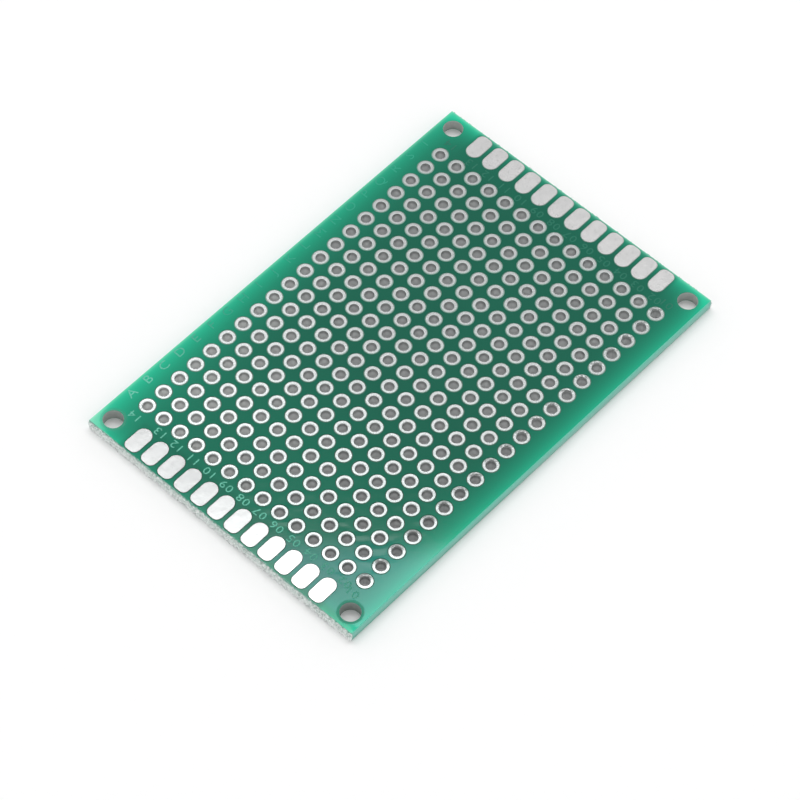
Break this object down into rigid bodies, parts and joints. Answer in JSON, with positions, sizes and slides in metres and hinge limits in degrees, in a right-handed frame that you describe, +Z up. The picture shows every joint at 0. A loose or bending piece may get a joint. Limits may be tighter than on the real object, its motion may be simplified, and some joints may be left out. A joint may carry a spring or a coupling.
{
  "type": "bare circuit board",
  "caption": "Flat rectangular prototyping board with a grid of plated through holes, a row of oval edge pads along each short end, and a mounting hole in each corner.",
  "frame": {"origin": "under the middle of the board, at the level of its lowest pads, which touch the surface it lies on", "axes": "+X along the long side, from column A to column T; +Y along the short side, from row 01 to row 14; +Z up, out of the face with the row and column marks"},
  "size_m": [0.06, 0.04, 0.0016],
  "materials": {
    "laminate": "translucent glass-epoxy sheet, with fibres showing at its snapped edges",
    "solder_mask": "glossy green solder mask",
    "tinned_copper": "dipped tin over copper foil, bright and slightly uneven"
  },
  "bodies": {
    "root": {"sheet": "laminate", "solder_mask_top": "solder_mask", "solder_mask_bottom": "solder_mask", "edge_pads_left_top": "tinned_copper", "edge_pads_left_bottom": "tinned_copper", "edge_pads_right_top": "tinned_copper", "edge_pads_right_bottom": "tinned_copper", "plated_holes_a": "tinned_copper", "plated_holes_b": "tinned_copper", "plated_holes_c": "tinned_copper", "plated_holes_d": "tinned_copper", "plated_holes_e": "tinned_copper", "plated_holes_f": "tinned_copper", "plated_holes_g": "tinned_copper", "plated_holes_h": "tinned_copper", "plated_holes_i": "tinned_copper", "plated_holes_j": "tinned_copper", "plated_holes_k": "tinned_copper", "plated_holes_l": "tinned_copper", "plated_holes_m": "tinned_copper", "plated_holes_n": "tinned_copper", "plated_holes_o": "tinned_copper", "plated_holes_p": "tinned_copper", "plated_holes_q": "tinned_copper", "plated_holes_r": "tinned_copper", "plated_holes_s": "tinned_copper", "plated_holes_t": "tinned_copper"}
  },
  "joints": []
}
